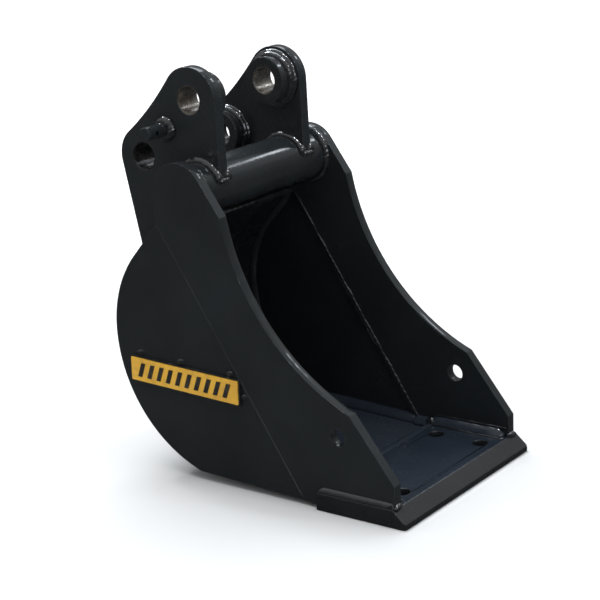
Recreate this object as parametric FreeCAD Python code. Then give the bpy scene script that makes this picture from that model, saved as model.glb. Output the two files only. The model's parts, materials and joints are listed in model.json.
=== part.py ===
"""Trenching bucket for a mini-excavator: one welded assembly, one STEP file per piece.

Units are millimetres. X points forward out of the mouth, Y across the width (left is +Y) and Z up.
The dimensions below are measured from the front tip of the cutting edge, at its bottom. Each piece is
then moved forward by ORIGIN_SHIFT, so the origin ends up under the middle of the whole bucket's box.
"""
import FreeCAD, Part
import math
import os

Vec = FreeCAD.Vector

# overall widths
BUCKET_WIDTH = 250.0          # over the front side plates
EDGE_WIDTH = 260.0            # the cutting edge overhangs each side plate
EAR_SPAN = 169.0              # over the outer faces of the two ears
BOSS_GAP = 102.0              # free gap between the inner faces of the bosses

# plate thicknesses
FRONT_PLATE = 12.0
REAR_PANEL = 8.0
PANEL_RECESS = 0.6            # the rear panel sits this far inside the front plate's outer face
WRAPPER = 8.0
WRAPPER_INSET = 4.0           # the panel edge stands proud of the wrapper by this much
EAR_PLATE = 14.0

# cutting edge
EDGE_THICK = 20.0
EDGE_DEPTH = 117.0
EDGE_NOSE = 6.0
EDGE_BEVEL = 16.0
EDGE_CORNER = 2.0
BOLT_R = 9.0
BOLT_X = (-95.5, -35.5)
BOLT_Y = 81.5

# front side plate outline
FOOT_X = -16.0
LIP_LOW = (-15.5, 45.0)
LIP_HIGH = (-69.4, 115.4)
THROAT_MID = (-177.4, 198.0)
THROAT_TOP = (-229.0, 315.5)
SEAM_TOP = (-322.0, 300.0)
SEAM_FOOT = (-137.0, 5.0)
TOP_ROUND = 36.0
LIFT_HOLE = (-86.3, 87.5)
LIFT_HOLE_R = 10.0

# rear shell outline: a flat, an upper arc, a lower arc and a nearly flat bottom
FLAT_ANGLE = math.radians(46.9)
UPPER_ARC_R = 137.0
LOWER_ARC_R = 162.0
BACK_X = -398.0
ARC_Z = 165.0
BOTTOM_REAR_Z = 10.0
BOTTOM_REAR_X = -278.0
BOTTOM_FRONT_Z = 3.0
WRAPPER_TOP_RUN = 25.0        # the wrapper runs on past the seam, up to the tube
INSIDE = (-100.0, 20.0)       # a point inside the bucket, for closing the wrapper's outline

# cross tube
TUBE_X = -287.0
TUBE_Z = 336.0
TUBE_R = 30.0
TUBE_WALL = 8.0

# ears, pins and bosses
STICK_PIN = (-295.2, 433.8)
LINK_PIN = (-368.8, 365.5)
PIN_R = 15.0
BUSH_WALL = 1.5
BUSH_CHAMFER = 1.0
BOSS_R = 27.5
BOSS_CHAMFER = 1.0
STICK_ROUND = 37.2
LINK_ROUND = 34.5
STICK_TANGENT = math.radians(142.0)
LINK_TANGENT = math.radians(130.0)
EAR_HOLLOW = (-350.2, 427.7)
EAR_REAR_SLOPE = 0.197
EAR_REAR_DROP = 150.0         # how far down the rear edge is drawn before the wrapper cuts it
EAR_HEEL_BELOW_TUBE = 5.0     # the outline's lower corner, inside the tube

# pin keeper stud on the right ear
STUD_R = 8.0
STUD_LENGTH = 36.0
STUD_HOLE_R = 3.0
STUD_HOLE_FROM_END = 13.0

# badge on the right rear panel, with a row of plain slanted bars
BADGE_CENTRE = (-297.0, 120.5)
BADGE_LENGTH = 158.0
BADGE_HEIGHT = 28.0
BADGE_TILT = -2.2
BACKING_THICK = 3.0
BACKING_MARGIN = 2.0
FACE_THICK = 1.2
MARK_COUNT = 10
MARK_PITCH = 14.0
MARK_WIDTH = 6.0
MARK_HEIGHT = 17.0
MARK_LEAN = 6.0
MARK_THICK = 0.6

# half of the overall length, from the cutting edge's tip to the back of the ears
ORIGIN_SHIFT = (LINK_ROUND - LINK_PIN[0]) / 2


def point(xz, y=0.0):
    """A point in the side view, given as (x, z)."""
    return Vec(xz[0], y, xz[1])


def around(centre, radius, angle):
    """The (x, z) point at a radius and an angle from a centre in the side view."""
    return (centre[0] + radius * math.cos(angle), centre[1] + radius * math.sin(angle))


def line(a, b):
    return Part.makeLine(point(a), point(b))


def arc(a, middle, b):
    return Part.Arc(point(a), point(middle), point(b)).toShape()


def polyline(points):
    return [line(points[i], points[i + 1]) for i in range(len(points) - 1)]


def plate(edges, y0, y1):
    """A plate cut to a closed outline in the side view, filling y0 to y1."""
    face = Part.Face(Part.Wire(Part.__sortEdges__(edges)))
    solid = face.extrude(Vec(0, y1 - y0, 0))
    solid.translate(Vec(0, y0, 0))
    return solid


def cylinder(centre, radius, y0, y1):
    """A round bar across the bucket."""
    return Part.makeCylinder(radius, y1 - y0, point(centre, y0), Vec(0, 1, 0))


def ring(centre, outer, inner, y0, y1):
    return cylinder(centre, outer, y0, y1).cut(cylinder(centre, inner, y0 - 1, y1 + 1))


def mirrored(shape):
    return shape.mirror(Vec(0, 0, 0), Vec(0, 1, 0))


def save(name, shape):
    moved = shape.copy()
    moved.translate(Vec(ORIGIN_SHIFT, 0, 0))
    moved.exportStep("parts/" + name + ".step")


def save_pair(name, left):
    """Writes a left-hand piece (+Y side) and its mirror image."""
    save(name + "_left", left)
    save(name + "_right", mirrored(left))


def bottom_z(x):
    """Height of the shell's bottom face at x."""
    run = (x - BOTTOM_REAR_X) / (-EDGE_DEPTH - BOTTOM_REAR_X)
    return BOTTOM_REAR_Z + run * (BOTTOM_FRONT_Z - BOTTOM_REAR_Z)


def shell_path(inset, top_run):
    """Key points of the rear shell outline, moved inwards; top_run lengthens it towards the tube."""
    along = (math.cos(FLAT_ANGLE), math.sin(FLAT_ANGLE))
    upper = (BACK_X + UPPER_ARC_R, ARC_Z)
    lower = (BACK_X + LOWER_ARC_R, ARC_Z)
    out = FLAT_ANGLE + math.pi / 2
    tangent = around(upper, UPPER_ARC_R - inset, out)
    reach = (SEAM_TOP[0] - tangent[0]) * along[0] + (SEAM_TOP[1] - tangent[1]) * along[1] + top_run
    top = (tangent[0] + reach * along[0], tangent[1] + reach * along[1])
    upper_mid = around(upper, UPPER_ARC_R - inset, (out + math.pi) / 2)
    back = (BACK_X + inset, ARC_Z)
    radius = LOWER_ARC_R - inset
    x = BOTTOM_REAR_X
    for _ in range(60):
        drop = ARC_Z - bottom_z(x) - inset
        x = lower[0] - math.sqrt(max(radius ** 2 - drop ** 2, 0.0))
    heel = (x, bottom_z(x) + inset)
    heel_angle = math.atan2(heel[1] - lower[1], heel[0] - lower[0]) % (2 * math.pi)
    lower_mid = around(lower, radius, (heel_angle + math.pi) / 2)
    return top, tangent, upper_mid, back, lower_mid, heel


def shell_edges(path):
    top, tangent, upper_mid, back, lower_mid, heel = path
    return [line(top, tangent), arc(tangent, upper_mid, back), arc(back, lower_mid, heel)]


def tangent_point(outside, centre, radius):
    """Where a line from an outside point touches a circle, on the upper right side."""
    dx = outside[0] - centre[0]
    dz = outside[1] - centre[1]
    bearing = math.atan2(dz, dx)
    spread = math.acos(radius / math.hypot(dx, dz))
    return around(centre, radius, bearing + spread)


def make_cutting_edge():
    profile = [(-EDGE_DEPTH, 0), (0, 0), (0, EDGE_NOSE), (-EDGE_BEVEL, EDGE_THICK),
               (-EDGE_DEPTH, EDGE_THICK), (-EDGE_DEPTH, 0)]
    solid = plate(polyline(profile), -EDGE_WIDTH / 2, EDGE_WIDTH / 2)
    for x in BOLT_X:
        for y in (-BOLT_Y, BOLT_Y):
            solid = solid.cut(Part.makeCylinder(BOLT_R, EDGE_THICK + 2, Vec(x, y, -1)))
    corners = [e for e in solid.Edges
               if len(e.Vertexes) == 2
               and all(abs(v.Point.x) < 0.01 for v in e.Vertexes)
               and abs(e.Vertexes[0].Point.y - e.Vertexes[1].Point.y) < 0.01]
    return solid.makeChamfer(EDGE_CORNER, corners)


def make_front_plate():
    """Left front side plate, from the tube end down to the cutting edge."""
    tube = (TUBE_X, TUBE_Z)
    touch = tangent_point(THROAT_TOP, tube, TOP_ROUND)
    crown = (TUBE_X, TUBE_Z + TOP_ROUND)
    rear = (TUBE_X - TOP_ROUND, TUBE_Z)
    shoulder = around(tube, TOP_ROUND, math.radians(135))
    touch_angle = math.atan2(touch[1] - TUBE_Z, touch[0] - TUBE_X)
    front_mid = around(tube, TOP_ROUND, (touch_angle + math.pi / 2) / 2)
    edges = polyline([(FOOT_X, EDGE_THICK), LIP_LOW, LIP_HIGH])
    edges.append(arc(LIP_HIGH, THROAT_MID, THROAT_TOP))
    edges.append(line(THROAT_TOP, touch))
    edges.append(arc(touch, front_mid, crown))
    edges.append(arc(crown, shoulder, rear))
    edges += polyline([rear, SEAM_TOP, SEAM_FOOT, (-EDGE_DEPTH, bottom_z(-EDGE_DEPTH)),
                       (-EDGE_DEPTH, EDGE_THICK), (FOOT_X, EDGE_THICK)])
    outer = BUCKET_WIDTH / 2
    solid = plate(edges, outer - FRONT_PLATE, outer)
    return solid.cut(cylinder(LIFT_HOLE, LIFT_HOLE_R, 0, BUCKET_WIDTH))


def make_rear_panel():
    """Left rear side panel, butted against the front plate along the seam."""
    path = shell_path(0.0, 0.0)
    edges = shell_edges(path)
    edges += [line(path[5], SEAM_FOOT), line(SEAM_FOOT, SEAM_TOP), line(SEAM_TOP, path[0])]
    edges = [e for e in edges if e.Length > 0.05]
    outer = BUCKET_WIDTH / 2 - PANEL_RECESS
    return plate(edges, outer - REAR_PANEL, outer)


def make_wrapper(front_plate, tube):
    outside = shell_path(WRAPPER_INSET, WRAPPER_TOP_RUN)
    inside = shell_path(WRAPPER_INSET + WRAPPER, WRAPPER_TOP_RUN)
    lip = bottom_z(-EDGE_DEPTH) + WRAPPER_INSET
    ends = [(-EDGE_DEPTH, lip), (-EDGE_DEPTH, lip + WRAPPER)]
    edges = shell_edges(outside) + shell_edges(inside)
    edges += polyline([outside[5], ends[0], ends[1], inside[5]])
    edges.append(line(inside[0], outside[0]))
    half = BUCKET_WIDTH / 2 - PANEL_RECESS - REAR_PANEL
    solid = plate(edges, -half, half)
    for blocker in (tube, front_plate, mirrored(front_plate)):
        solid = solid.cut(blocker)
    return solid


def make_ear():
    """Left ear plate, standing on the cross tube and the wrapper."""
    stick_mid = around(STICK_PIN, STICK_ROUND, STICK_TANGENT / 2)
    stick_front = around(STICK_PIN, STICK_ROUND, 0.0)
    stick_end = around(STICK_PIN, STICK_ROUND, STICK_TANGENT)
    link_start = around(LINK_PIN, LINK_ROUND, LINK_TANGENT)
    rear_angle = math.pi + math.atan(EAR_REAR_SLOPE)
    link_mid = around(LINK_PIN, LINK_ROUND, (LINK_TANGENT + rear_angle) / 2)
    link_end = around(LINK_PIN, LINK_ROUND, rear_angle)
    foot = (link_end[0] + EAR_REAR_SLOPE * EAR_REAR_DROP, link_end[1] - EAR_REAR_DROP)
    edges = [line((stick_front[0], TUBE_Z), stick_front),
             arc(stick_front, stick_mid, stick_end),
             arc(stick_end, EAR_HOLLOW, link_start),
             arc(link_start, link_mid, link_end)]
    heel = (TUBE_X, TUBE_Z - EAR_HEEL_BELOW_TUBE)
    edges += polyline([link_end, foot, heel, (stick_front[0], TUBE_Z)])
    outer = EAR_SPAN / 2
    solid = plate(edges, outer - EAR_PLATE, outer)
    path = shell_path(WRAPPER_INSET, WRAPPER_TOP_RUN)
    bowl = shell_edges(path) + [line(path[5], INSIDE), line(INSIDE, path[0])]
    solid = solid.cut(plate(bowl, 0, BUCKET_WIDTH))
    solid = solid.cut(cylinder((TUBE_X, TUBE_Z), TUBE_R, 0, BUCKET_WIDTH))
    for pin in (STICK_PIN, LINK_PIN):
        solid = solid.cut(cylinder(pin, PIN_R + BUSH_WALL, 0, BUCKET_WIDTH))
    return solid


def make_boss(pin):
    """Left inner boss, welded to the inner face of the ear."""
    inner = BOSS_GAP / 2
    outer = EAR_SPAN / 2 - EAR_PLATE
    solid = cylinder(pin, BOSS_R, inner, outer)
    rim = [e for e in solid.Edges if e.Closed and abs(e.Vertexes[0].Point.y - inner) < 0.01]
    solid = solid.makeChamfer(BOSS_CHAMFER, rim[:1])
    return solid.cut(cylinder(pin, PIN_R + BUSH_WALL, 0, BUCKET_WIDTH))


def make_bush(pin, outer):
    """Left pin bush, filling the ear and its boss."""
    inner = BOSS_GAP / 2
    solid = cylinder(pin, PIN_R + BUSH_WALL, inner, outer)
    bore = cylinder(pin, PIN_R, inner - 1, outer + 1)
    for y, step in ((inner, 1.0), (outer, -1.0)):
        cone = Part.makeCone(PIN_R + BUSH_CHAMFER, PIN_R, BUSH_CHAMFER, point(pin, y), Vec(0, step, 0))
        bore = bore.fuse(cone)
    return solid.cut(bore)


def make_stud():
    """Keeper stud on the right ear, half-way between the two pins."""
    centre = ((STICK_PIN[0] + LINK_PIN[0]) / 2, (STICK_PIN[1] + LINK_PIN[1]) / 2)
    root = -EAR_SPAN / 2
    end = root - STUD_LENGTH
    solid = cylinder(centre, STUD_R, end, root)
    rim = [e for e in solid.Edges if e.Closed and abs(e.Vertexes[0].Point.y - end) < 0.01]
    solid = solid.makeChamfer(1.0, rim[:1])
    start = Vec(centre[0] - 2 * STUD_R, end + STUD_HOLE_FROM_END, centre[1])
    return solid.cut(Part.makeCylinder(STUD_HOLE_R, 4 * STUD_R, start, Vec(1, 0, 0)))


def on_badge(shape, y_inner):
    """Tilts a shape made about the origin and puts it at the badge, standing out from y_inner."""
    shape.rotate(Vec(0, 0, 0), Vec(0, 1, 0), -BADGE_TILT)
    shape.translate(Vec(BADGE_CENTRE[0], y_inner, BADGE_CENTRE[1]))
    return shape


def make_marks(y_inner):
    """A row of slanted bars on the badge."""
    bars = []
    for i in range(MARK_COUNT):
        x = (i - (MARK_COUNT - 1) / 2) * MARK_PITCH
        low = x - MARK_LEAN / 2
        high = x + MARK_LEAN / 2
        half_w = MARK_WIDTH / 2
        half_h = MARK_HEIGHT / 2
        corners = [(low - half_w, -half_h), (low + half_w, -half_h),
                   (high + half_w, half_h), (high - half_w, half_h), (low - half_w, -half_h)]
        bars.append(on_badge(plate(polyline(corners), -MARK_THICK, 0.0), y_inner))
    return Part.makeCompound(bars)


def make_badge(length, height, y_inner, thick, corner):
    """A flat plate on the outside of the right rear panel, tilted a little."""
    box = Part.makeBox(length, thick, height, Vec(-length / 2, -thick, -height / 2))
    uprights = [e for e in box.Edges
                if len(e.Vertexes) == 2
                and abs(e.Vertexes[0].Point.y - e.Vertexes[1].Point.y) > thick / 2]
    return on_badge(box.makeFillet(corner, uprights), y_inner)


os.makedirs("parts", exist_ok=True)

front = make_front_plate()
tube_end = BUCKET_WIDTH / 2 - FRONT_PLATE
tube_bar = cylinder((TUBE_X, TUBE_Z), TUBE_R, -tube_end, tube_end)
ear_outer = EAR_SPAN / 2

save("cutting_edge", make_cutting_edge())
save_pair("side_plate_front", front)
save_pair("side_panel_rear", make_rear_panel())
save("wrapper_plate", make_wrapper(front, tube_bar))
save("cross_tube", ring((TUBE_X, TUBE_Z), TUBE_R, TUBE_R - TUBE_WALL, -tube_end, tube_end))
save_pair("ear_plate", make_ear())
save_pair("stick_pin_boss", make_boss(STICK_PIN))
save_pair("link_pin_boss", make_boss(LINK_PIN))
save_pair("stick_pin_bush", make_bush(STICK_PIN, ear_outer))
save_pair("link_pin_bush", make_bush(LINK_PIN, ear_outer))
save("pin_keeper_stud", make_stud())

panel_face = -(BUCKET_WIDTH / 2 - PANEL_RECESS)
backing_length = BADGE_LENGTH + 2 * BACKING_MARGIN
backing_height = BADGE_HEIGHT + 2 * BACKING_MARGIN
save("badge_backing", make_badge(backing_length, backing_height, panel_face, BACKING_THICK, 1.5))
save("badge_plate", make_badge(BADGE_LENGTH, BADGE_HEIGHT, panel_face - BACKING_THICK, FACE_THICK, 1.2))
save("badge_marks", make_marks(panel_face - BACKING_THICK - FACE_THICK))
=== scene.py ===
"""Looks for the excavator trenching bucket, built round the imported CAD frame.

Metres, with +X out of the mouth and +Z up. The sizes repeated from the CAD are millimetres, and at()
turns them into metres.
"""
import json
import math
import random
import bpy
import bmesh
from mathutils import Matrix, Vector, noise


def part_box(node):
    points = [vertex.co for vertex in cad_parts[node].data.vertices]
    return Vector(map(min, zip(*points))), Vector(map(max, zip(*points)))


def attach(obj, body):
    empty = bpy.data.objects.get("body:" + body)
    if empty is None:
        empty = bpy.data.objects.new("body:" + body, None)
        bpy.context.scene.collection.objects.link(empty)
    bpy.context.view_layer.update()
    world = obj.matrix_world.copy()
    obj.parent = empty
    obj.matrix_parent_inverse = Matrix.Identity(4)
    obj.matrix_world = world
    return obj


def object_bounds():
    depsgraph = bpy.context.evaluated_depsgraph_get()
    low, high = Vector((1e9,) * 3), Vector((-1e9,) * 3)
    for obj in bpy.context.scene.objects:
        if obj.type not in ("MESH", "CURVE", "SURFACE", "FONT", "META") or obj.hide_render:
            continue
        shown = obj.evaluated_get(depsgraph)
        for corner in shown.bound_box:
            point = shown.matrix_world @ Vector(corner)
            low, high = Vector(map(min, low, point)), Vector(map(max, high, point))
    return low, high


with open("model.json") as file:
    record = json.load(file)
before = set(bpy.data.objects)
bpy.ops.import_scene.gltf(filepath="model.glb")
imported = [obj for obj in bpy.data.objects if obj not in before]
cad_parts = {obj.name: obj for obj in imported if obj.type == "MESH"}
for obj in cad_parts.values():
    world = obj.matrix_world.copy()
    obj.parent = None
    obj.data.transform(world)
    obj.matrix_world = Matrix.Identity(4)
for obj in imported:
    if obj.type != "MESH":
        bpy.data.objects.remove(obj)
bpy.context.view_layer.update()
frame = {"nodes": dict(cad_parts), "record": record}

NODES = frame["nodes"]
MM = 0.001


# ---------------------------------------------------------------- node helpers
def wired(v):
    """True for another node's output, False for a plain number or colour."""
    return hasattr(v, "is_output")


def rgba(v):
    return v if wired(v) else (*v, 1.0)


class Mat:
    """A small builder for a procedural material."""

    def __init__(self, name):
        self.material = bpy.data.materials.new(name)
        self.material.use_nodes = True
        self.tree = self.material.node_tree
        self.shader = self.tree.nodes["Principled BSDF"]
        self.obj = self.tree.nodes.new("ShaderNodeTexCoord").outputs["Object"]
        self.normal = None

    def set(self, node, inputs):
        """Fills sockets, by name or number, from numbers, tuples or other nodes' outputs."""
        for socket, v in inputs.items():
            if wired(v):
                self.tree.links.new(v, node.inputs[socket])
            else:
                node.inputs[socket].default_value = v

    def new(self, kind, inputs=None, **props):
        node = self.tree.nodes.new(kind)
        for k, v in props.items():
            setattr(node, k, v)
        self.set(node, inputs or {})
        return node

    def noise(self, scale, detail=4.0, rough=0.55, vector=None):
        return self.new("ShaderNodeTexNoise", {"Scale": scale, "Detail": detail, "Roughness": rough,
                                               "Vector": vector or self.obj}).outputs["Fac"]

    def stretch(self, *scale):
        return self.new("ShaderNodeMapping", {"Scale": scale, "Vector": self.obj}).outputs["Vector"]

    def ramp(self, fac, lo, hi, a=0.0, b=1.0):
        """Maps lo..hi to a..b."""
        return self.new("ShaderNodeMapRange", {"From Min": lo, "From Max": hi, "To Min": a, "To Max": b,
                                               "Value": fac}).outputs["Result"]

    def times(self, a, b):
        return self.new("ShaderNodeMath", {0: a, 1: b}, operation="MULTIPLY").outputs[0]

    def plus(self, a, b):
        return self.new("ShaderNodeMath", {0: a, 1: b}, operation="ADD").outputs[0]

    def mix(self, fac, a, b):
        return self.new("ShaderNodeMix", {"Factor": fac, "A": rgba(a), "B": rgba(b)},
                        data_type="RGBA").outputs["Result"]

    def layer(self, base, mask, amount, color):
        """A colour laid over base by amount wherever mask is 1."""
        return self.mix(self.times(mask, amount), base, color)

    def bump(self, height, distance, strength=1.0):
        node = self.new("ShaderNodeBump", {"Distance": distance, "Strength": strength, "Height": height})
        if self.normal:
            self.set(node, {"Normal": self.normal})
        self.normal = node.outputs["Normal"]

    def edge(self, radius):
        """1 on sharp edges, 0 on flats: how far a bevelled normal leaves the true one."""
        bevel = self.new("ShaderNodeBevel", {"Radius": radius}, samples=4)
        geometry = self.new("ShaderNodeNewGeometry")
        dot = self.new("ShaderNodeVectorMath", {0: bevel.outputs["Normal"], 1: geometry.outputs["Normal"]},
                       operation="DOT_PRODUCT")
        return self.ramp(dot.outputs["Value"], 0.995, 0.86)

    def level(self):
        """1 where the surface faces up, 0 where it is upright."""
        split = self.new("ShaderNodeSeparateXYZ")
        self.set(split, {0: self.new("ShaderNodeNewGeometry").outputs["Normal"]})
        return self.ramp(split.outputs["Z"], 0.80, 0.97)

    def finish(self, color, rough, metallic=0.0, more=None):
        """Fills in the shader and returns the material; more holds further sockets of the shader."""
        self.set(self.shader, {"Base Color": rgba(color), "Roughness": rough, "Metallic": metallic,
                               **(more or {})})
        if self.normal:
            self.set(self.shader, {"Normal": self.normal})
        return self.material


# ---------------------------------------------------------------- materials
BLACK = (0.0118, 0.0138, 0.0150)
SATIN_BLACK = (0.0092, 0.0100, 0.0108)
SATIN_ROUGH = (0.20, 0.32)
SATIN_PEEL = 0.5
DUST = (0.045, 0.045, 0.043)
SPECK = (0.10, 0.10, 0.10)
WORN = (0.13, 0.135, 0.14)
CHIPPED = (0.36, 0.37, 0.38)


def lighter(color, factor):
    return tuple(c * factor for c in color)


def black_paint(name, tint=BLACK, rough=(0.13, 0.25), peel=1.0, coat=0.25, sky_sheen_tint=None):
    """Sprayed gloss black: orange peel, broad waves, thin dusty patches, specks and worn edges.

    The last argument is the colour laid on level surfaces: a painted reflection of the bluish sky.
    """
    m = Mat(name)
    cloud = m.ramp(m.noise(9.0, 5.0), 0.35, 0.7)
    dust = m.noise(38.0, 6.0, 0.65)
    fleck = m.noise(900.0, 2.0, 0.5)
    base = m.mix(cloud, tint, lighter(tint, 1.45))
    # painted reflection: level faces get a lighter, bluish colour that stands in for the sky they mirror
    if sky_sheen_tint:
        laid = m.mix(cloud, sky_sheen_tint, lighter(sky_sheen_tint, 1.25))
        base = m.mix(m.level(), base, laid)
    dusty = m.times(m.ramp(dust, 0.55, 0.8), 0.14)
    base = m.mix(dusty, base, DUST)
    base = m.layer(base, m.ramp(fleck, 0.73, 0.80), 0.35, SPECK)
    worn = m.times(m.edge(0.0011), m.ramp(m.noise(70.0, 5.0, 0.7), 0.42, 0.72))
    base = m.layer(base, worn, 0.45, WORN)
    chips = m.times(m.edge(0.0008), m.ramp(m.noise(150.0, 2.0, 0.5), 0.67, 0.71))
    base = m.layer(base, chips, 0.85, CHIPPED)
    roughness = m.plus(m.ramp(m.noise(16.0, 5.0), 0.3, 0.75, *rough), m.times(dusty, 0.5))
    m.bump(m.noise(420.0, 2.0, 0.5), 0.00003 * peel)
    m.bump(m.noise(55.0, 3.0, 0.5), 0.00022 * peel)
    m.bump(m.noise(7.0, 2.0, 0.5), 0.0011 * peel, 0.7)
    return m.finish(base, roughness, more={"Coat Weight": coat, "Coat Roughness": 0.07})


def bore_steel(name, bright=(0.36, 0.335, 0.305), tarnish=(0.17, 0.135, 0.105)):
    """Bored steel: fine turning rings, some darker than others, and a little brown tarnish."""
    m = Mat(name)
    rings = m.noise(900.0, 2.0, 0.6, m.stretch(0.02, 1.0, 0.02))
    stain = m.noise(60.0, 5.0, 0.65)
    base = m.mix(m.ramp(stain, 0.42, 0.68), bright, tarnish)
    base = m.layer(base, m.ramp(rings, 0.35, 0.7), 0.25, (0.10, 0.09, 0.08))
    roughness = m.ramp(m.noise(140.0, 3.0), 0.3, 0.7, 0.20, 0.36)
    m.bump(rings, 0.00004)
    return m.finish(base, roughness, 0.92)


def yellow_paint(name):
    """The badge's yellow, with grime in patches and a dark worn rim."""
    m = Mat(name)
    cloud = m.noise(30.0, 5.0)
    base = m.mix(m.ramp(cloud, 0.35, 0.7), (0.78, 0.43, 0.030), (0.66, 0.345, 0.022))
    base = m.layer(base, m.ramp(m.noise(120.0, 6.0, 0.7), 0.54, 0.75), 0.5, (0.20, 0.12, 0.03))
    rim = m.times(m.edge(0.0009), m.ramp(m.noise(160.0, 4.0, 0.7), 0.40, 0.62))
    base = m.layer(base, rim, 0.8, (0.05, 0.045, 0.03))
    m.bump(m.noise(260.0, 3.0), 0.00012)
    m.bump(m.noise(40.0, 3.0), 0.0005)
    return m.finish(base, m.ramp(m.noise(60.0, 4.0), 0.3, 0.7, 0.34, 0.5))


def mark_paint(name):
    """The badge's dark marks."""
    m = Mat(name)
    base = m.mix(m.ramp(m.noise(90.0, 5.0), 0.4, 0.7), (0.018, 0.018, 0.018), (0.05, 0.042, 0.03))
    m.bump(m.noise(300.0, 3.0), 0.0001)
    return m.finish(base, m.ramp(m.noise(80.0, 4.0), 0.3, 0.7, 0.35, 0.55))


def weld_paint(name):
    """The same black over weld metal: lumpy, and glossier than on the plates."""
    m = Mat(name)
    base = m.mix(m.ramp(m.noise(120.0, 4.0), 0.4, 0.7), (0.0075, 0.0085, 0.009), (0.015, 0.016, 0.017))
    m.bump(m.noise(500.0, 3.0), 0.00008)
    m.bump(m.noise(160.0, 2.0), 0.00035)
    return m.finish(base, m.ramp(m.noise(60.0, 4.0), 0.3, 0.7, 0.10, 0.22),
                    more={"Specular IOR Level": 0.9, "Coat Weight": 1.0, "Coat Roughness": 0.05,
                          "Coat IOR": 1.8})


def floor_paper(name):
    """Pale paper that glows a little away from the bucket, so that it stays white past the lamps' reach."""
    m = Mat(name)
    base = m.mix(m.ramp(m.noise(3.0, 4.0), 0.3, 0.7), (0.66, 0.66, 0.66), (0.67, 0.67, 0.67))
    m.bump(m.noise(300.0, 3.0), 0.00002)
    reach = m.new("ShaderNodeVectorMath", {0: m.obj}, operation="LENGTH").outputs["Value"]
    return m.finish(base, 0.85, more={"Emission Color": (1.0, 1.0, 1.0, 1.0),
                                      "Emission Strength": m.ramp(reach, 0.40, 2.0, 0.0, 0.72),
                                      "Specular IOR Level": 0.1})


PAINT = black_paint("black_paint")
# The level faces of the cutting edge and the wrapper carry a painted reflection of the bluish sky; the
# wrapper's is brighter.
EDGE_PAINT = black_paint("edge_paint", SATIN_BLACK, SATIN_ROUGH, SATIN_PEEL,
                         sky_sheen_tint=(0.0125, 0.0170, 0.0245))
WRAPPER_PAINT = black_paint("wrapper_paint", SATIN_BLACK, SATIN_ROUGH, SATIN_PEEL,
                            sky_sheen_tint=(0.0200, 0.0255, 0.0345))
# The welds along the floor are a lighter, bluish black all over: a painted reflection of the sky, on weld
# metal that is black like the rest.
FLOOR_WELD_SHEEN = black_paint("floor_weld_paint", (0.0180, 0.0230, 0.0310), (0.12, 0.22), 1.6, coat=0.6)
WELD = weld_paint("weld_paint")
# The link-pin bores are given a much darker steel than the stick-pin bores.
DARK_BORE = bore_steel("dark_bore", (0.10, 0.10, 0.105), (0.05, 0.045, 0.04))
BY_SLOT = {"bucket_paint": PAINT, "bore_steel": bore_steel("bore_steel"),
           "badge_yellow": yellow_paint("badge_yellow"), "badge_black": mark_paint("badge_black")}
BY_NODE = {"cutting_edge": EDGE_PAINT, "wrapper_plate": WRAPPER_PAINT,
           "link_pin_bush_left": DARK_BORE, "link_pin_bush_right": DARK_BORE}

for part in frame["record"]["subparts"]:
    slots = NODES[part["node"]].data.materials
    slots.clear()
    slots.append(BY_NODE.get(part["node"], BY_SLOT[part["material_slot"]]))


# ---------------------------------------------------------------- softened plate edges
def soften(node, width):
    """Rounds a CAD node's hard edges a little with modifiers; the mesh itself stays."""
    modifiers = NODES[node].modifiers
    modifiers.new("weld", "WELD").merge_threshold = 1e-6
    bevel = modifiers.new("soft_edges", "BEVEL")
    bevel.width = width
    bevel.segments = 2
    bevel.limit_method = "ANGLE"
    bevel.angle_limit = math.radians(38)
    bevel.harden_normals = True
    bevel.use_clamp_overlap = True


for side in ("left", "right"):
    soften("side_plate_front_" + side, 0.0009)
    soften("ear_plate_" + side, 0.0010)
    soften("side_panel_rear_" + side, 0.0006)
soften("cutting_edge", 0.0010)


# ---------------------------------------------------------------- weld shapes
RIPPLE_STEPS = 5        # rings of vertices along one ripple of a bead
BEAD_SIDES = 12
FILLET_STEPS = 6        # facets across a fillet's face
FILLET_BULGE = 0.18
FILLET_SUNK = 0.001     # how far a fillet's corner reaches into the plates, in metres


def place(name, data):
    """A new object in the scene, from a mesh, a light or a camera."""
    ob = bpy.data.objects.new(name, data)
    bpy.context.scene.collection.objects.link(ob)
    return ob


def mesh_of(name, bm, mat):
    me = bpy.data.meshes.new(name)
    bm.to_mesh(me)
    bm.free()
    me.materials.append(mat)
    return me


def weld_piece(name, bm, rings, mat, closed=False):
    """Joins rings of vertices into one smooth skin, capped unless closed, that rides on the root."""
    pairs = list(zip(rings, rings[1:]))
    if closed:
        pairs.append((rings[-1], rings[0]))
    for a, b in pairs:
        for j in range(len(a)):
            k = (j + 1) % len(a)
            bm.faces.new((a[j], a[k], b[k], b[j]))
    if not closed:
        bm.faces.new(list(reversed(rings[0])))
        bm.faces.new(rings[-1])
    bmesh.ops.recalc_face_normals(bm, faces=bm.faces)
    me = mesh_of(name, bm, mat)
    for f in me.polygons:
        f.use_smooth = True
    ob = place(name, me)
    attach(ob, "root")


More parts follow.
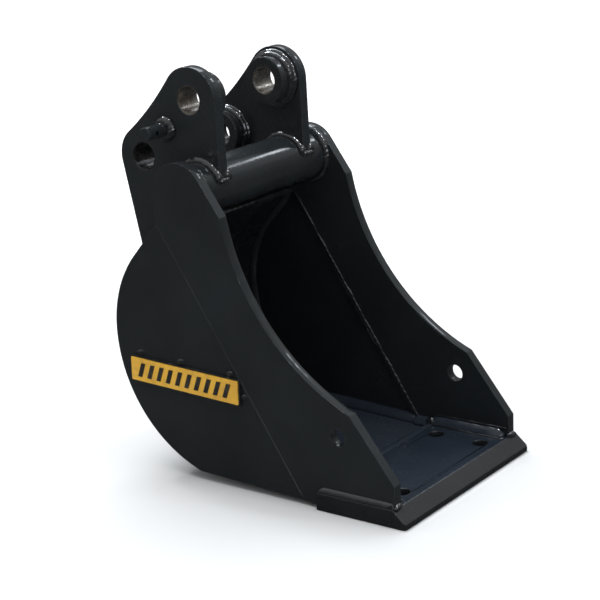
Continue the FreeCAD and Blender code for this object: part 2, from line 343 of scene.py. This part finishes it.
def bead(name, path, radius, pitch=0.0040, rough=0.10, closed=False, flat=(1.0, 1.0, 1.0), mat=WELD):
    """A weld bead along points: a lumpy, rippled bar, sunk half into the corner it fills.

    pitch is the length of one ripple, rough the depth of the ripples and lumps as a share of the radius,
    and flat a squash along each axis. An open bead tapers at its ends; a closed one runs right round.
    """
    pts = [Vector(p) for p in path]
    if closed:
        pts.append(pts[0])
    run = [0.0]
    for a, b in zip(pts, pts[1:]):
        run.append(run[-1] + (b - a).length)
    total = run[-1]
    steps = max(int(total / (pitch / RIPPLE_STEPS)), 8)
    phase = random.Random(name).random() * 10
    bm = bmesh.new()
    rings = []
    for i in range(steps + 1):
        s = total * i / steps
        k = 0
        while k < len(run) - 2 and run[k + 1] < s:
            k += 1
        p = pts[k].lerp(pts[k + 1], (s - run[k]) / max(run[k + 1] - run[k], 1e-9))
        before, after = (k, k + 1) if closed else (max(k - 1, 0), min(k + 2, len(pts) - 1))
        d = (pts[after] - pts[before]).normalized()
        u = d.cross(Vector((0, 1, 0)) if abs(d.y) < 0.8 else Vector((0, 0, 1))).normalized()
        v = d.cross(u).normalized()
        ripple = math.sin(math.pi * ((s / pitch + phase) % 1.0)) ** 0.7
        wobble = noise.noise(Vector((s * 60.0, phase, 0.0)))
        r = radius * (0.92 + rough * 0.5 * ripple + rough * 0.9 * wobble)
        tip = min(s, total - s) / (radius * 1.1)
        if not closed and tip < 1.0:
            r *= math.sqrt(max(1.0 - (1.0 - tip) ** 2, 0.02))
        ring = []
        for j in range(BEAD_SIDES):
            ang = 2 * math.pi * j / BEAD_SIDES
            cos, sin = math.cos(ang), math.sin(ang)
            lump = 1.0 + 0.06 * noise.noise(Vector((s * 200.0, cos * 2, sin * 2 + phase)))
            off = Vector([o * f for o, f in zip((u * cos + v * sin) * r * lump, flat)])
            lean = d * (0.25 * pitch * math.cos(2 * ang))
            ring.append(bm.verts.new(p + off + lean))
        rings.append(ring)
    weld_piece(name, bm, rings, mat, closed)


def fillet(name, path, side, leg, mat):
    """A wide smooth weld along a path of corner points; side is +1 by a left-hand wall, -1 by a right."""
    phase = random.Random(name).random() * 10
    pts = [Vector(p) for p in path]
    last = len(pts) - 1
    inward = Vector((0, -side, 0))
    bm = bmesh.new()
    rings = []
    for i, p in enumerate(pts):
        d = (pts[min(i + 1, last)] - pts[max(i - 1, 0)]).normalized()
        off = inward.cross(d).normalized() * side
        taper = min(1.0, 0.35 + 0.33 * min(i, last - i))
        size = leg * taper * (1.0 + 0.05 * noise.noise(Vector((i * 0.45, phase, 0.0))))
        ring = [bm.verts.new(p - inward * FILLET_SUNK - off * FILLET_SUNK)]
        for k in range(FILLET_STEPS + 1):
            f = k / FILLET_STEPS
            bulge = FILLET_BULGE * math.sin(math.pi * f)
            push = 1.0 + bulge + 0.015 * noise.noise(Vector((i * 0.8, f * 3, phase)))
            step = inward * (size * (1 - f)) + off * (size * f)
            ring.append(bm.verts.new(p + step * push))
        rings.append(ring)
    weld_piece(name, bm, rings, mat)


# ---------------------------------------------------------------- sizes repeated from the CAD
# Millimetres. Points are (x, z), from the front tip of the cutting edge at its bottom.
PLATE_IN, PLATE_OUT = 113.0, 125.0      # faces of the front side plate, across the bucket
PANEL_IN, PANEL_OUT = 116.4, 124.4      # faces of the rear panel
EAR_IN, EAR_OUT = (corner[1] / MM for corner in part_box("ear_plate_left"))
EDGE_TOP = 20.0
EDGE_REAR = -117.0
TUBE = (-287.0, 336.0)
STICK_PIN = (-295.2, 433.8)
LINK_PIN = (-368.8, 365.5)
STUD = ((STICK_PIN[0] + LINK_PIN[0]) / 2, (STICK_PIN[1] + LINK_PIN[1]) / 2)
SEAM_TOP = (-322.0, 300.0)
FLAT_ANGLE = math.radians(46.9)
UPPER_CENTRE, UPPER_R = (-261.0, 165.0), 137.0
LOWER_CENTRE, LOWER_R = (-236.0, 165.0), 162.0
BOTTOM_REAR, BOTTOM_FRONT = (-278.0, 10.0), (-117.0, 3.0)
WRAPPER_OUT, WRAPPER_IN = 4.0, 12.0     # how far the wrapper's faces lie inside the panel's outline
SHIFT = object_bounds()[1][0]               # in metres: from the cutting edge's tip to the row's origin

# where the welds run, in millimetres
STAND_OFF = 0.6                         # a bead's middle lies this far off the face it runs on
TUBE_RING = 30.4                        # radius of a bead round the tube
EAR_ARC = (16, 190)                     # degrees round the tube where an ear's beads start and end
EAR_TOE = (-257.4, 345.4)
SEAM_INSIDE = (-309.5, 287.5), (-141.0, 21.0)
SEAM_OUTSIDE = (-321.8, 298.9), (-139.2, 8.0)
SPLIT = 0.62                            # a share of shell()'s points, about half-way round the lower arc
STEP_Z = 16.5                           # the floor just behind the cutting edge
FLOOR_X = range(-149, -17, 4)           # points along the floor fillet
FLOOR_TOES = (102.6, 20.2), (112.4, 30.2)       # the floor fillet's two toes: half-width, height
FLOOR_TOE_FRONT = -20.0
OVERHANG_X = (EDGE_REAR + 1.0, -17.5)
FOOT = (-16.4, 20.4)
CORNER, CORNER_RING, CORNER_Y = (-120.0, EDGE_TOP), 3.0, 109.5
BOSS_RINGS = (STICK_PIN, "stick", 30.4), (LINK_PIN, "link", 28.9)
BOSS_SECOND_RING = 27.8
STUD_RING = 8.8
WRAPPER_TO_TUBE = (-310.5, 290.5)
WRAPPER_TO_EDGE = (-119.5, 17.0)
WRAPPER_TO_EDGE_UNDER = (-117.8, 5.6)
INNER_HALF = PLATE_IN - 1.0             # half the length of the beads across the inside
TACKS = ((-363.0, 143.0), (-302.5, 140.6), (-230.0, 137.5), (-302.0, 102.6), (-226.5, 100.4),
         (-212.4, 113.0))
TACK_RUN = (-4.5, 0.2, 0.0), (0.0, 0.5, 0.4), (4.5, 0.2, 0.0)      # along, out of the panel, up


def at(x, y, z):
    """A point of the side view and a distance y across, in millimetres, as metres in the row's frame."""
    return (x * MM + SHIFT, y * MM, z * MM)


def around(centre, radius, angle):
    """The (x, z) point at a radius and an angle from a centre."""
    return (centre[0] + radius * math.cos(angle), centre[1] + radius * math.sin(angle))


def circle(centre, r, y, n, a0=0.0, a1=360.0):
    """Points in n steps from a0 to a1 degrees; a full circle leaves out the last, which is the first."""
    out = []
    for i in range(n + (0 if a1 - a0 >= 360 else 1)):
        x, z = around(centre, r, math.radians(a0 + (a1 - a0) * i / n))
        out.append(at(x, y, z))
    return out


def line(a, b, y):
    """The ends of a straight run in the side view."""
    return [at(a[0], y, a[1]), at(b[0], y, b[1])]


def across(point, y0, y1):
    """The ends of a straight run across the bucket."""
    return [at(point[0], y0, point[1]), at(point[0], y1, point[1])]


def bottom(x):
    """The height of the shell's nearly flat bottom at x."""
    fall = BOTTOM_REAR[1] - BOTTOM_FRONT[1]
    return BOTTOM_REAR[1] - fall * (x - BOTTOM_REAR[0]) / (BOTTOM_FRONT[0] - BOTTOM_REAR[0])


def shell(inset, y, start=0.0, end=1.0):
    """Points along the panel's outline, from the tube to the cutting edge, moved in by inset.

    start and end pick a share of the points, from 0 to 1.
    """
    upper, lower = UPPER_R - inset, LOWER_R - inset
    square = FLAT_ANGLE + math.pi / 2
    foot = around(UPPER_CENTRE, upper, square)          # where the flat meets the upper arc
    reach = ((SEAM_TOP[0] - foot[0]) * math.cos(FLAT_ANGLE)
             + (SEAM_TOP[1] - foot[1]) * math.sin(FLAT_ANGLE))
    pts = [around(foot, reach * (1 - i / 6), FLAT_ANGLE) for i in range(6)]
    pts += [around(UPPER_CENTRE, upper, square + (math.pi - square) * i / 18) for i in range(18)]
    x = BOTTOM_REAR[0]
    for _ in range(40):                                 # settles where the lower arc meets the bottom
        z = bottom(x) + inset
        x = LOWER_CENTRE[0] - math.sqrt(max(lower ** 2 - (LOWER_CENTRE[1] - z) ** 2, 0.0))
    last = math.atan2(z - LOWER_CENTRE[1], x - LOWER_CENTRE[0]) % (2 * math.pi)
    pts += [around(LOWER_CENTRE, lower, math.pi + (last - math.pi) * i / 24) for i in range(25)]
    for i in range(1, 13):
        xx = x + (EDGE_REAR - 2.0 - x) * i / 12
        pts.append((xx, bottom(xx) + inset))
    lo, hi = (int(share * (len(pts) - 1)) for share in (start, end))
    return [at(px, y, pz) for px, pz in pts[lo:hi + 1]]


# ---------------------------------------------------------------- welds
for s, tag in ((1, "left"), (-1, "right")):
    # cross tube to side plates, and to the ears
    bead(f"weld_tube_side_{tag}", circle(TUBE, TUBE_RING, s * (PLATE_IN - STAND_OFF), 96), 0.0058,
         closed=True, rough=0.14, pitch=0.0065)
    for face, y in (("in", EAR_IN - STAND_OFF), ("out", EAR_OUT + STAND_OFF)):
        bead(f"weld_tube_ear_{face}_{tag}", circle(TUBE, TUBE_RING, s * y, 96, *EAR_ARC), 0.0054,
             rough=0.16, pitch=0.0075)
    bead(f"weld_ear_toe_{tag}", across(EAR_TOE, s * (EAR_IN - 2), s * (EAR_OUT + 2)), 0.0036,
         rough=0.25, pitch=0.0055)
    # the slanted seam between the front plate and the rear panel, inside and outside
    bead(f"weld_seam_in_{tag}", line(*SEAM_INSIDE, s * (PANEL_IN - STAND_OFF)), 0.0040,
         pitch=0.0075, rough=0.30)
    bead(f"weld_seam_out_{tag}", line(*SEAM_OUTSIDE, s * (PANEL_OUT - 0.3)), 0.0020,
         pitch=0.0060, rough=0.12, mat=PAINT)
    # wrapper to the side panels, inside and outside
    fillet(f"weld_wrap_in_{tag}", shell(WRAPPER_IN, s * PANEL_IN, end=SPLIT), s, 0.0070, EDGE_PAINT)
    fillet(f"weld_wrap_floor_{tag}", shell(WRAPPER_IN, s * PANEL_IN, SPLIT), s, 0.0100, FLOOR_WELD_SHEEN)
    bead(f"weld_wrap_out_{tag}", shell(WRAPPER_OUT - STAND_OFF, s * (PANEL_IN - 0.2), end=0.97), 0.0034,
         rough=0.14, pitch=0.0060)
    # side plate to cutting edge: inside along the floor, outside on the overhang
    floor_run = [at(x, s * PLATE_IN, EDGE_TOP if x > EDGE_REAR else STEP_Z) for x in FLOOR_X]
    fillet(f"weld_floor_{tag}", floor_run, s, 0.0095, FLOOR_WELD_SHEEN)
    for toe, z in FLOOR_TOES:
        bead(f"weld_floor_toe_{int(toe)}_{tag}", line((EDGE_REAR + 1.0, z), (FLOOR_TOE_FRONT, z), s * toe),
             0.0011, pitch=0.0120, rough=0.35)
    overhang = [at(x, s * PLATE_OUT, EDGE_TOP) for x in OVERHANG_X]
    bead(f"weld_overhang_{tag}", overhang, 0.0075, pitch=0.0075, rough=0.07, flat=(1.0, 0.60, 1.0))
    bead(f"weld_foot_{tag}", across(FOOT, s * (PLATE_IN - 1.0), s * (PLATE_OUT + 1.5)), 0.0042,
         pitch=0.0060, rough=0.30)
    bead(f"weld_corner_{tag}", circle(CORNER, CORNER_RING, s * CORNER_Y, 40), 0.0050,
         closed=True, rough=0.30)
    # bosses on the ears: a ring at the ear, and a second pass beside it
    for pin, kind, r in BOSS_RINGS:
        bead(f"weld_{kind}_boss_{tag}", circle(pin, r, s * (EAR_IN - 0.4), 84), 0.0044,
             closed=True, rough=0.16, pitch=0.0075)
        bead(f"weld_{kind}_boss_cap_{tag}", circle(pin, BOSS_SECOND_RING, s * (EAR_IN - 4.6), 84),
             0.0040, closed=True, rough=0.18, pitch=0.0070)
# tacks round the badge, on the right-hand panel
for i, (x, z) in enumerate(TACKS):
    tack = [at(x + dx, -PANEL_OUT - out, z + dz) for dx, out, dz in TACK_RUN]
    bead(f"badge_tack_{i}", tack, 0.0032, rough=0.35, flat=(1.0, 0.62, 1.0))
# across the bucket: wrapper to tube, and wrapper to cutting edge from above and from below
bead("weld_wrapper_tube", across(WRAPPER_TO_TUBE, -INNER_HALF, INNER_HALF), 0.0030,
     pitch=0.0110, rough=0.5)
bead("weld_wrapper_edge", across(WRAPPER_TO_EDGE, 1.0 - INNER_HALF, INNER_HALF - 1.0), 0.0072,
     pitch=0.0090, rough=0.10, flat=(1.0, 1.0, 0.60), mat=FLOOR_WELD_SHEEN)
bead("weld_wrapper_edge_under", across(WRAPPER_TO_EDGE_UNDER, -INNER_HALF, INNER_HALF), 0.0040,
     pitch=0.0080)
# the keeper stud, on the right-hand ear
bead("weld_stud", circle(STUD, STUD_RING, -EAR_OUT - 0.8, 60), 0.0060,
     closed=True, rough=0.30, pitch=0.0060)


# ---------------------------------------------------------------- floor, light, camera
FLOOR_HALF = 40.0
FLOOR_DROP = 0.0004                     # a gap under the bucket, so that the two faces don't flicker
LIGHT_TARGET = (0.0, 0.0, 0.2)
WHITE = (1.0, 1.0, 1.0)
SKY = (0.86, 0.93, 1.0)
# Name, place, size and watts. The sparks make the glints; the sheet lights the edge's bevel and the
# strip the tube.
LIGHTS = (
    ("key_top", (-0.9, 0.9, 2.2), (1.5, 1.2), 18),
    ("spark_back", (-1.5, 0.2, 1.9), (0.24, 0.24), 9),
    ("spark_right", (0.53, 1.97, 1.80), (0.28, 0.28), 2.2),
    ("spark_front", (1.6, 0.5, 1.9), (0.28, 0.28), 6),
    ("spark_top", (0.55, 0.0, 2.4), (0.26, 0.26), 9),
    ("bevel_sheet", (0.6, 1.9, 1.6), (1.7, 1.1), 1.0),
    ("tube_strip", (1.9, -0.6, 1.0), (1.2, 0.35), 2.6),
)
WORLD_TINT = (0.97, 0.985, 1.0, 1.0)
WORLD_LEVEL = 0.50                      # strength for everything but reflections
# What the paint mirrors is dimmer, and brightens from the first height to the second.
MIRRORED = (("From Min", -0.15), ("From Max", 0.95), ("To Min", 0.05), ("To Max", 0.42))
CAM_POS = (0.93256 + SHIFT, -1.49046, 0.74830)
CAM_AZ, CAM_EL, CAM_ROLL = 37.769, 16.484, -3.5415
CAM_FOCAL = 1701.0                      # in units of a 600-wide picture
CAM_SENSOR = 36.0


def floor():
    bm = bmesh.new()
    bmesh.ops.create_grid(bm, x_segments=8, y_segments=8, size=FLOOR_HALF)
    ob = place("floor", mesh_of("floor", bm, floor_paper("floor_paper")))
    ob.location.z = -FLOOR_DROP
    ob.visible_glossy = False           # the paint mirrors the dim studio, not a white table


def area(name, loc, size, power, color=SKY):
    data = bpy.data.lights.new(name, "AREA")
    data.shape = "RECTANGLE"
    data.size, data.size_y = size
    data.energy = power
    data.color = color
    ob = place(name, data)
    ob.location = loc
    ob.rotation_euler = (Vector(LIGHT_TARGET) - Vector(loc)).to_track_quat("-Z", "Y").to_euler()
    return ob


def studio():
    """A pale even world, with a dimmer gradient in its place for glossy reflections."""
    world = bpy.data.worlds.new("studio")
    bpy.context.scene.world = world
    world.use_nodes = True
    nodes, link = world.node_tree.nodes, world.node_tree.links.new
    direction = nodes.new("ShaderNodeTexCoord").outputs["Generated"]
    split = nodes.new("ShaderNodeSeparateXYZ")
    link(direction, split.inputs[0])
    dim = nodes.new("ShaderNodeMapRange")
    for socket, v in MIRRORED:
        dim.inputs[socket].default_value = v
    link(split.outputs["Z"], dim.inputs["Value"])
    rays = nodes.new("ShaderNodeLightPath")
    pick = nodes.new("ShaderNodeMix")
    pick.data_type = "FLOAT"
    link(rays.outputs["Is Glossy Ray"], pick.inputs["Factor"])
    pick.inputs["A"].default_value = WORLD_LEVEL
    link(dim.outputs["Result"], pick.inputs["B"])
    nodes["Background"].inputs["Color"].default_value = WORLD_TINT
    link(pick.outputs["Result"], nodes["Background"].inputs["Strength"])


def camera():
    az, el, roll = (math.radians(v) for v in (CAM_AZ, CAM_EL, CAM_ROLL))
    back = Vector((math.sin(az) * math.cos(el), -math.cos(az) * math.cos(el), math.sin(el)))
    right = (-back).cross(Vector((0, 0, 1))).normalized()
    up = right.cross(-back)
    cam_x = math.cos(roll) * right + math.sin(roll) * up
    cam_y = -math.sin(roll) * right + math.cos(roll) * up
    cam = bpy.data.cameras.new("camera")
    cam.sensor_width = CAM_SENSOR
    cam.lens = CAM_SENSOR * CAM_FOCAL / 600.0
    ob = place("camera", cam)
    matrix = Matrix((cam_x, cam_y, back)).transposed().to_4x4()
    matrix.translation = Vector(CAM_POS)
    ob.matrix_world = matrix
    bpy.context.scene.camera = ob


floor()
# this one lights the paper and the badge, and the paint doesn't mirror it
area("paper_key", (-0.85, 0.10, 2.6), (2.4, 2.4), 72, WHITE).visible_glossy = False
for light in LIGHTS:
    area(*light)
studio()
bpy.context.scene.view_settings.view_transform = "Standard"
camera()
